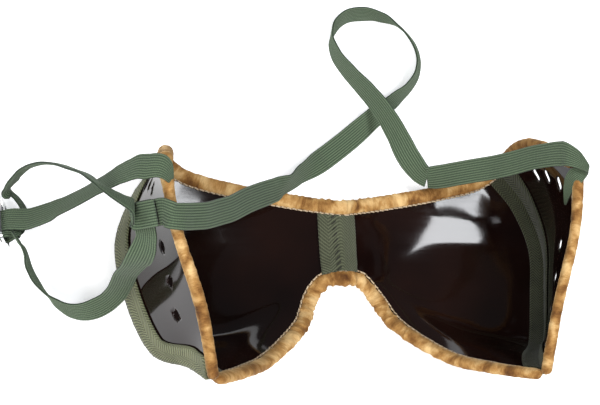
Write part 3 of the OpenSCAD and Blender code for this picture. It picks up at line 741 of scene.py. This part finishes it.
# The wrap turns round the bar and its two layers run up to the tip, where they are sewn together
wrapSet = {"drop": 3.75, "turn": 1.7, "high": 0.5, "tip": 5.75,
           "layer": [(1.7, 1.2), (1.45, 1.9), (1.05, 2.6), (0.62, 3.2), (0.52, 4.2), (0.5, 5.4)]}


def wrapPoints(s):
    turns = [math.radians(deg) for deg in range(180, 361, 15)]
    path = [(s["turn"] * math.cos(a), s["high"] + s["turn"] * math.sin(a)) for a in turns]
    path += s["layer"] + [(0, s["tip"])] + [(-y, z) for y, z in s["layer"][::-1]]
    return [atSlide(-s["drop"], y, z) for y, z in path]


wrapObj = ringBand("slideWrap", wrapPoints(wrapSet), slideWay(1, 0, 0))
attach(wrapObj, "slide")
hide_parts("slide_wrap")

loopSet = {"long": 12.5, "short": 2.6, "gap": 2.0, "thick": 1.0, "between": 8}


def loopPoints(s):
    far = (s["long"] - s["gap"]) / 2
    reach = (s["gap"] + s["thick"]) / 2
    path = []
    for sign, end in ((1, far), (-1, s["short"])):
        for deg in range(-90, 91, 15):
            a = math.radians(deg)
            path.append((sign * (end + reach * math.cos(a)), sign * reach * math.sin(a)))
        for k in range(1, s["between"]):
            path.append((sign * (end - (far + s["short"]) * k / s["between"]), sign * reach))
    return [atLoop(x, y, 0) for x, y in path]


loopObj = ringBand("strapEndLoop", loopPoints(loopSet), loopWay(0, 0, 1))
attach(loopObj, "left_half")
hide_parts("strap_end_loop")

# The tinted panes
print("stage: panes")
halves = ((1, "Right"), (-1, "Left"))
paneSet = {"thick": 0.45, "cols": 56, "rows": 48, "sideCols": 30, "sideRows": 44, "inset": 0.7, "seam": 1.0,
           "foot": 0.09, "chin": 4.5, "chinPower": 8, "browBend": 0.9, "bendFrom": 0.7, "uv": 0.08}


def frontUv(u, v):
    s = paneSet
    u0, u1 = stepU(0, 0, v, s["inset"]), 1 - stepU(0, 1, v, s["seam"])
    chin = s["chin"] / np.linalg.norm(upwardOf(0, 1, 0))
    v0 = stepV(0, u, 0, s["inset"]) + u ** s["chinPower"] * chin
    v1 = 1 - stepV(0, u, 1, s["inset"])
    return u0 + u * (u1 - u0), v0 + v * (v1 - v0)


def sideUv(u, v):
    s = paneSet
    v1 = 1 - stepV(1, u, 1, s["inset"])
    v = s["foot"] + v * (v1 - s["foot"])
    u0, u1 = stepU(1, 0, v, s["seam"]), 1 - stepU(1, 1, v, s["inset"])
    return u0 + u * (u1 - u0), v


def sheetMesh(name, k, flip, cols, rows, uvAt):
    s = paneSet
    rings = []
    for j in range(rows + 1):
        under, over = [], []
        for i in range(cols + 1):
            u, v = uvAt(i / cols, j / rows)
            p, n = pane(k, u, v), inward(k, u, v)
            if k == 0:
                rise = max(0.0, (v - s["bendFrom"]) / (1 - s["bendFrom"]))
                p = p + n * s["browBend"] * rise**2
            under.append(p - n * s["thick"] / 2)
            over.append(p + n * s["thick"] / 2)
        rings.append(under + over[::-1])
    across = thereAndBack(s["uv"], cols + 1)
    return loft(name, lifted(rings, flip), across, np.linspace(0, s["uv"], rows + 1))


# Cuts the vents and keeps the result as the pane's own mesh
def cutSheet(obj, cutters):
    for c in cutters:
        cut = obj.modifiers.new("vent", "BOOLEAN")
        cut.operation = "DIFFERENCE"
        cut.solver = "EXACT"
        cut.object = c
    graph = bpy.context.evaluated_depsgraph_get()
    mesh = bpy.data.meshes.new_from_object(obj.evaluated_get(graph))
    obj.modifiers.clear()
    obj.data = mesh
    for c in cutters:
        bpy.data.objects.remove(c)


# The vents' places are shares of the side pane, across and up
ventSet = {
    "slots": {1: ((0.44, 0.870), (0.612, 0.862), (0.77, 0.852)),
              -1: ((0.26, 0.862), (0.394, 0.855), (0.53, 0.829))},
    "holes": ((0.715, 0.592), (0.665, 0.474), (0.567, 0.366)),
    "slant": 14, "long": 5.4, "wide": 2.6, "hole": 3.8, "sides": 32, "reach": 4,
}


# A cutter with round ends, square to the side pane; long equals wide for a round hole
def cutterAt(u, v, slant, long, wide, flip):
    sides, reach = ventSet["sides"], ventSet["reach"]
    z = inward(1, u, v)
    y = unit(upwardOf(1, u, v))
    x = np.cross(y, z)
    centre = side(u, v)
    t = math.radians(slant)
    straight = (long - wide) / 2
    outline = []
    for k in range(sides):
        a = 2 * math.pi * (k + 0.5) / sides
        px, py = wide / 2 * math.cos(a), wide / 2 * math.sin(a)
        py += straight if py > 0 else -straight
        outline.append((px * math.cos(t) - py * math.sin(t), px * math.sin(t) + py * math.cos(t)))
    rings = [[centre + a * x + b * y + h * z for a, b in outline] for h in (-reach, reach)]
    return loft("cutter", lifted(rings, flip), np.zeros(sides + 1), [0, 1])


def makePanes(flip, word):
    lens = sheetMesh(f"frontPane{word}", 0, flip, paneSet["cols"], paneSet["rows"], frontUv)
    paint(lens, tintedSheet)
    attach(lens, f"{word.lower()}_half")
    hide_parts(f"front_lens_{word.lower()}")
    sidePane = sheetMesh(f"sidePane{word}", 1, flip, paneSet["sideCols"], paneSet["sideRows"], sideUv)
    s = ventSet
    cutters = [cutterAt(u, v, s["slant"], s["long"], s["wide"], flip) for u, v in s["slots"][flip]]
    cutters += [cutterAt(u, v, 0, s["hole"], s["hole"], flip) for u, v in s["holes"]]
    cutSheet(sidePane, cutters)
    paint(sidePane, tintedSheet)
    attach(sidePane, f"{word.lower()}_wing")
    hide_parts(f"side_lens_{word.lower()}")


for flip, word in halves:
    useWing(flip)
    makePanes(flip, word)

# The velvet bindings: girth is the U that goes once round, fold is how creased they are, and lump and crease
# are how fast the unevenness changes along and round them
print("stage: velvet")
velvetSet = {"wide": 6.0, "thick": 4.5, "points": 22, "step": 0.7, "girth": 0.0165,
             "crush": 0.064, "wrinkle": 0.21, "shrink": 0.02, "thinner": 0.30,
             "endRound": 2.2, "endLeast": 0.12, "knobReach": 5,
             "lump": (0.33, 1.3), "crease": (0.75, 0.35), "creaseSeed": 9,
             "fold": 0.35, "noseFold": 1.1, "noseWide": 24, "browFrom": 10, "browShare": 0.8,
             "browGap": 0.6, "browRise": 0.5, "chinGap": 1.2, "seamGap": 1.6, "cornerGap": 2.6,
             "foot": 0.09, "level": 14}
selvageSet = {"wide": 0.62, "thick": 0.34, "up": 0.62, "out": 0.12, "sides": 8, "girth": 0.002,
              "wave": 0.22, "wander": 0.9, "ripple": 2.85, "rippleShare": 0.6}
# The left wing has sagged and its velvet is fuller
wingVelvet = {1: {"wide": 6.0, "thick": 4.5, "tip": 2.6, "cut": 0, "knob": 0.12, "seed": 0.0},
              -1: {"wide": 7.0, "thick": 6.6, "tip": 0.4, "cut": 5, "knob": 0.42, "seed": 40.0}}


# At a point of a rim: the direction into the pane, and the one away from it
def rimAxes(points, ways, normals, i):
    t = heading(points, i)
    w = unit(squareTo(ways[i], t))
    return w, unit(squareTo(squareTo(normals[i], t), w))


def velvetRings(points, ways, normals, seed, fold, knob, s):
    run = lengths(points)
    rings = []
    for i, point in enumerate(points):
        w, h = rimAxes(points, ways, normals, i)
        end = min(1, min(run[i], run[-1] - run[i]) / s["endRound"])
        close = max(s["endLeast"], math.sqrt(max(0.0, 1 - (1 - end) ** 2)))
        swell = 1 + knob * math.exp(-((run[-1] - run[i]) / s["knobReach"]) ** 2)
        wrinkle = s["wrinkle"] * fold(point)
        ring = []
        for k in range(s["points"]):
            a = 2 * math.pi * k / s["points"]
            x = math.cos(a) * s["wide"] / 2
            z = math.sin(a) * s["thick"] / 2 * (1 - s["thinner"] * (math.cos(a) + 1) / 2)
            lump = Vector((run[i] * s["lump"][0], a * s["lump"][1], seed))
            bumpy = noise.noise(lump) + 0.5 * noise.noise(lump * 2.3)
            furrow = Vector((run[i] * s["crease"][0], a * s["crease"][1], seed + s["creaseSeed"]))
            crease = noise.noise(furrow)
            grow = 1 + s["crush"] * bumpy + wrinkle * crease - s["shrink"]
            ring.append(point + (x * w + z * h) * grow * close * swell)
        rings.append(ring)
    return rings


def evenFold(p):
    return velvetSet["fold"]


# The bindings are creased more near the bridge
def noseFold(p, s=velvetSet):
    share = 1 if p[1] < s["browFrom"] else s["browShare"]
    return s["fold"] + s["noseFold"] * math.exp(-(p[0] / s["noseWide"]) ** 2) * share


def velvetMesh(name, points, ways, normals, seed, fold=evenFold, knob=0.0, s=velvetSet):
    rings = velvetRings(points, ways, normals, seed, fold, knob, s)
    obj = loft(name, rings, np.linspace(0, s["girth"], s["points"] + 1), lengths(points) * 0.001)
    return paint(obj, velvet)


# The cream selvage that shows along the inner edge of a binding, a little wavy
def selvageMesh(name, points, ways, normals, seed, s=selvageSet):
    run = lengths(points)
    rings = []
    for i, point in enumerate(points):
        w, h = rimAxes(points, ways, normals, i)
        wave = noise.noise(Vector((run[i] * s["wander"], seed, 0)))
        wave += s["rippleShare"] * math.sin(run[i] * s["ripple"])
        centre = point + w * (velvetSet["wide"] / 2 + s["out"] + s["wave"] * wave) + h * s["up"]
        rings.append([centre + s["wide"] / 2 * math.cos(a) * w + s["thick"] / 2 * math.sin(a) * h
                      for a in np.linspace(0, 2 * math.pi, s["sides"] + 1)[:-1]])
    obj = loft(name, rings, np.linspace(0, s["girth"], s["sides"] + 1), run * 0.001)
    return paint(obj, selvage)


# Points along a rim, with the direction into the pane and the pane's normal at each
def rimLine(k, at, wayOf, count):
    pts, ways, norms = [], [], []
    for i in range(count + 1):
        u, v = at(i / count)
        pts.append(pane(k, u, v))
        ways.append(wayOf(u, v))
        norms.append(inward(k, u, v))
    return np.array(pts), np.array(ways), np.array(norms)


# A right half's rim line and its mirror image, joined on the middle line
def bothHalves(line):
    whole = [np.concatenate([a[::-1] * vec(-1, 1, 1), a[1:]]) for a in line]
    middle = len(line[0]) - 1
    for a in whole[1:]:
        a[middle] = unit(a[middle] * vec(0, 1, 1))
    return whole


def resample(lines, step=velvetSet["step"]):
    run = lengths(lines[0])
    wanted = np.linspace(0, run[-1], max(4, int(round(run[-1] / step))) + 1)
    return [pickAt(wanted, run, a) for a in lines]


def trimmed(lines, first, last):
    return [a[first:-last] for a in lines]


def makeMiddleVelvet(s):
    topEnd = 1 - stepU(0, 1, 1, s["browGap"])
    brow = rimLine(0, lambda t: (t * topEnd, 1), lambda u, v: -upwardOf(0, u, 1), count=160)
    pts, ways, norms = resample(bothHalves(brow))
    lines = [lifted(pts + norms * s["browRise"]), ways, norms]
    obj = velvetMesh("browVelvet", *lines, seed=3.1, fold=noseFold)
    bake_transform(obj)
    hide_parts("top_binding_left", "top_binding_right")
    line = selvageMesh("browSelvage", *trimmed(lines, first=4, last=4), seed=3.1)
    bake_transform(line)
    lowEnd = 1 - s["chinGap"] / np.linalg.norm(acrossOf(0, 1, 0))
    low = rimLine(0, lambda t: (t * lowEnd, 0), lambda u, v: upwardOf(0, u, 0), count=220)
    pts, ways, norms = resample(bothHalves(low))
    lines = [lifted(pts), ways, norms]
    obj = velvetMesh("noseVelvet", *lines, seed=7.7, fold=noseFold)
    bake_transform(obj)
    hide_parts("bottom_binding_left", "bottom_binding_right")
    line = selvageMesh("noseSelvage", *trimmed(lines, first=6, last=6), seed=7.7)
    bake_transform(line)


def makeWingVelvet(flip, word, s):
    mirror = vec(flip, 1, 1)
    full = wingVelvet[flip]
    u0 = s["seamGap"] / np.linalg.norm(acrossOf(1, 0, 1))
    u1 = 1 - s["cornerGap"] / np.linalg.norm(acrossOf(1, 1, 1))
    rim = rimLine(1, lambda t: (u0 + t * (u1 - u0), 1), lambda u, v: -upwardOf(1, u, 1), count=90)
    pts, ways, norms = resample(rim)
    fuller = dict(s, wide=full["wide"], thick=full["thick"])
    obj = velvetMesh(f"sideVelvet{word}", lifted(pts, flip), ways * mirror, norms * mirror,
                     seed=11.3 + full["seed"], s=fuller)
    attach(obj, f"{word.lower()}_wing")
    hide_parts(f"side_binding_{word.lower()}")
    pts, ways, norms = rimLine(1, lambda t: (1, t), lambda u, v: -acrossOf(1, 1, max(v, s["foot"])),
                               count=150)
    norms[:s["level"]] = norms[s["level"]]
    tip = pts[-1] + unit(upwardOf(1, 1, 1)) * full["tip"]
    edge = [np.concatenate([a, b]) for a, b in ((pts, [tip]), (ways, ways[-1:]), (norms, norms[-1:]))]
    pts, ways, norms = [a[:len(a) - full["cut"]] for a in resample(edge)]
    lines = [lifted(pts, flip), ways * mirror, norms * mirror]
    obj = velvetMesh(f"templeVelvet{word}", *lines, seed=21.9 + full["seed"], knob=full["knob"])
    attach(obj, f"{word.lower()}_wing")
    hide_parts(f"temple_binding_{word.lower()}")
    line = selvageMesh(f"templeSelvage{word}", *trimmed(lines, first=6, last=8), seed=21.9 + full["seed"])
    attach(line, f"{word.lower()}_wing")


makeMiddleVelvet(velvetSet)
for flip, word in halves:
    useWing(flip)
    makeWingVelvet(flip, word, velvetSet)

# The seam tapes: the outer face thins from the share worn on, and two strips meet within the share meet
print("stage: tapes")
tapeSet = {"wide": 7.0, "sideWide": 6.0, "thick": 0.7, "gap": 0.3, "rows": 110, "foot": 0.035, "cols": 12,
           "headGap": 3.5, "templeGap": 3.5, "least": 0.2, "worn": 0.86, "thinner": 0.55, "meet": 0.15,
           "wobble": 0.16, "waves": (60, 3)}


# A closed strip of cloth; for a share of its length rowAt gives a function that places the points of that row
def stripMesh(name, s, wide, flip, rowAt):
    rings, mids = [], []
    for j in range(s["rows"] + 1):
        place = rowAt(j / s["rows"])
        under = [place(i / s["cols"], False) for i in range(s["cols"] + 1)]
        over = [place(i / s["cols"], True) for i in range(s["cols"] + 1)]
        rings.append(under + over[::-1])
        mids.append(over[s["cols"] // 2])
    across = thereAndBack(wide * 0.001, s["cols"] + 1)
    obj = loft(name, lifted(rings, flip), across, lengths(np.array(mids)) * 0.001)
    return obj


# One strip of seam tape on a pane, from the seam's fold outward; sign is 1 inside and -1 outside
def tapeStrip(name, k, sign, flip, wide, material, body, s=tapeSet):
    head = 1 - stepV(0, 1, 1, s["headGap"])
    near = sign * (paneSet["thick"] / 2 + s["gap"])

    def rowAt(share):
        v = s["foot"] + share * (head - s["foot"])
        nf, ns = inward(0, 1, v), inward(1, 0, v)
        turn = (nf + ns) / (1 + nf @ ns)
        reach = stepU(0, 1, v, wide)
        if k == 1:
            room = 1 - stepU(1, 1, v, s["templeGap"])
            reach = max(s["least"], min(stepU(1, 0, v, wide), room))

        def place(f, outer):
            u = 1 - f * reach if k == 0 else f * reach
            d = near
            if outer:
                left = 1 - s["thinner"] * max(0, (f - s["worn"]) / (1 - s["worn"]))
                where = (v * s["waves"][0], f * s["waves"][1], k * 5 + flip + sign * 2)
                d += sign * (s["thick"] * left + s["wobble"] * noise.noise(Vector(where)))
            p = off(k, u, v, d)
            if f < s["meet"]:
                part = f / s["meet"]
                p = part * p + (1 - part) * (pane(k, u, v) + d * turn)
            return p

        return place

    obj = stripMesh(name, s, wide, flip, rowAt)
    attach(obj, body)
    return paint(obj, material)


for flip, word in halves:
    useWing(flip)
    low = word.lower()
    wide = tapeSet["wide"]
    # The inner strips take the darker copy of the tape, with painted shade
    innerFront = tapeStrip(f"innerTapeFront{word}", 0, 1, flip, wide, tapeInsideShaded, f"{low}_half")
    tapeStrip(f"innerTapeSide{word}", 1, 1, flip, tapeSet["sideWide"], tapeInsideShaded, f"{low}_wing")
    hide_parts(f"inner_tape_{low}")
    outerFront = tapeStrip(f"outerTapeFront{word}", 0, -1, flip, wide, tapeOutside, f"{low}_half")
    tapeStrip(f"outerTapeSide{word}", 1, -1, flip, wide, tapeOutside, f"{low}_wing")
    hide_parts(f"outer_tape_{low}")

# The bridge tape sits a little to the left and gets wider towards the brow; within ridge of the middle
# it goes straight over the fold
bridgeSet = {"rows": 44, "cols": 20, "wide": 14.0, "endGap": 3.0, "left": 9.0, "leftMore": 1.6, "right": 5.6,
             "wobble": 0.18, "waves": (9, 3), "ridge": 0.2}


def bridgeTape(name, sign, nodeName, material, s=bridgeSet):
    foot, head = stepV(0, 0, 0, s["endGap"]), 1 - stepV(0, 0, 1, s["endGap"])
    near = sign * (paneSet["thick"] / 2 + tapeSet["gap"])

    def rowAt(share):
        v = foot + share * (head - foot)
        leftReach = stepU(0, 0, v, s["left"] + s["leftMore"] * share)
        rightReach = stepU(0, 0, v, s["right"])
        n = inward(0, 0, v)
        up = unit(vec(0, n[1], n[2]))

        def place(across, outer):
            f = 2 * across - 1
            d = near
            if outer:
                where = (v * s["waves"][0], f * s["waves"][1], 4 + sign)
                d += sign * (tapeSet["thick"] + s["wobble"] * noise.noise(Vector(where)))
            p = off(0, abs(f) * (leftReach if f < 0 else rightReach), v, d)
            if abs(f) < s["ridge"]:
                part = abs(f) / s["ridge"]
                p = p * part + (front(0, v) + up * d / (up @ n)) * (1 - part)
            return p * vec(-1 if f < 0 else 1, 1, 1)

        return place

    obj = stripMesh(name, s, s["wide"], 1, rowAt)
    paint(obj, material)
    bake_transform(obj)
    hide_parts(nodeName)


# The inside bridge tape takes a darker copy of the tape, with painted shade
bridgeTape("bridgeTapeInside", 1, "bridge_tape_inner", tapeBridgeShaded)
bridgeTape("bridgeTapeOutside", -1, "bridge_tape_outer", tapeOutside)

# Dark thread that runs down the bridge tape in slanting stitches
stitchSet = {"count": 10, "long": 1.5, "thick": 0.55, "x": -1.3, "drift": -2.6, "slant": 1.8, "raise": 0.35,
             "from": 0.14, "share": 0.72, "rings": 6, "sides": 6, "taper": 0.12, "dip": 0.25}


# A stitch is a short rod that tapers and dips into the tape at both ends
def bridgeStitches(s):
    verts, faces = [], []
    rings, sides = s["rings"], s["sides"]
    above = paneSet["thick"] / 2 + tapeSet["gap"] + tapeSet["thick"] + s["raise"]
    for k in range(s["count"]):
        v = s["from"] + s["share"] * k / (s["count"] - 1)
        ends = []
        for hand in (-0.5, 0.5):
            x = s["x"] + s["drift"] * v + hand * s["slant"]
            vv = v + hand * s["long"] / np.linalg.norm(upwardOf(0, 0, v))
            p = off(0, stepU(0, 0, vv, abs(x)), vv, above)
            ends.append(p * vec(1 if x > 0 else -1, 1, 1))
        a, b = ends
        n = inward(0, 0, v)
        w = np.cross(unit(b - a), n)
        first = len(verts)
        for f in np.linspace(0, 1, rings):
            r = s["thick"] / 2 * math.sin(math.pi * (s["taper"] + (1 - 2 * s["taper"]) * f)) ** 0.5
            centre = a + (b - a) * f - n * s["dip"] * (2 * f - 1) ** 2
            for c in range(sides):
                g = 2 * math.pi * c / sides
                verts.append(centre + r * (math.cos(g) * w + math.sin(g) * n))
        for i in range(rings - 1):
            at = first + i * sides
            for c in range(sides):
                d = (c + 1) % sides
                faces.append((at + c, at + d, at + sides + d, at + sides + c))
        last = first + (rings - 1) * sides
        faces.append(tuple(first + c for c in range(sides)))
        faces.append(tuple(last + c for c in range(sides)))
    obj = newObject("bridgeStitches", lifted(np.array(verts)), faces)
    paint(obj, darkThread)
    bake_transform(obj)


bridgeStitches(stitchSet)

# The paper that the goggles lie on, and the lights
print("stage: light")
stageSet = {"floor": 6.0, "world": 0.12, "glow": 0.5}
lightSet = {
    "fill": {"at": (-1.0, -1.9, 2.3), "to": (0, 0, 0), "size": (2.2, 1.6), "power": 78.0,
             "colour": (1.0, 0.98, 0.96)},
    "sideFill": {"at": (-2.4, 0.6, 1.6), "to": (0, 0, 0), "size": (1.6, 1.6), "power": 30.0,
                 "colour": (0.95, 0.98, 1.0)},
    "window": {"at": (0.56, -0.07, 1.5), "to": (0.56, -0.07, 0), "size": (0.50, 0.54), "power": 19.0,
               "colour": (0.95, 0.97, 1.0)},
}


def makeStage(s):
    far = s["floor"] * 1000
    corners = [(-far, -far, 0), (far, -far, 0), (far, far, 0), (-far, far, 0)]
    floor = newObject("floor", corners, [(0, 1, 2, 3)], [(0, 0), (1, 0), (1, 1), (0, 1)])
    net = Net("paper")
    grain = net.noise(placeOf(net), 400.0, 2.0, 0.5)
    ray = net.add("ShaderNodeLightPath").outputs
    mirrored = net.math("MAXIMUM", ray["Is Glossy Ray"], ray["Is Transmission Ray"])
    seen = net.math("MAXIMUM", ray["Is Camera Ray"], mirrored)
    paint(floor, net.finish(Base_Color=(0.93, 0.93, 0.94, 1), Roughness=0.9, Specular_IOR_Level=0.1,
                            Normal=net.bump(grain, 0.03, 0.0002), Emission_Color=(0.97, 0.98, 1.0, 1),
                            Emission_Strength=net.math("MULTIPLY", seen, s["glow"])))
    world = bpy.data.worlds.new("studio")
    world.use_nodes = True
    sky = world.node_tree.nodes["Background"]
    sky.inputs["Color"].default_value = (0.95, 0.97, 1.0, 1)
    sky.inputs["Strength"].default_value = s["world"]
    scene.world = world


def areaLight(name, s):
    data = bpy.data.lights.new(name, "AREA")
    data.shape = "RECTANGLE"
    data.size, data.size_y = s["size"]
    data.energy = s["power"]
    data.color = s["colour"]
    light = bpy.data.objects.new(name, data)
    scene.collection.objects.link(light)
    way = Vector(s["to"]) - Vector(s["at"])
    turn = way.to_track_quat("-Z", "Y").to_matrix().to_4x4()
    light.matrix_world = Matrix.Translation(Vector(s["at"])) @ turn


makeStage(stageSet)
for name, values in lightSet.items():
    areaLight(name, values)
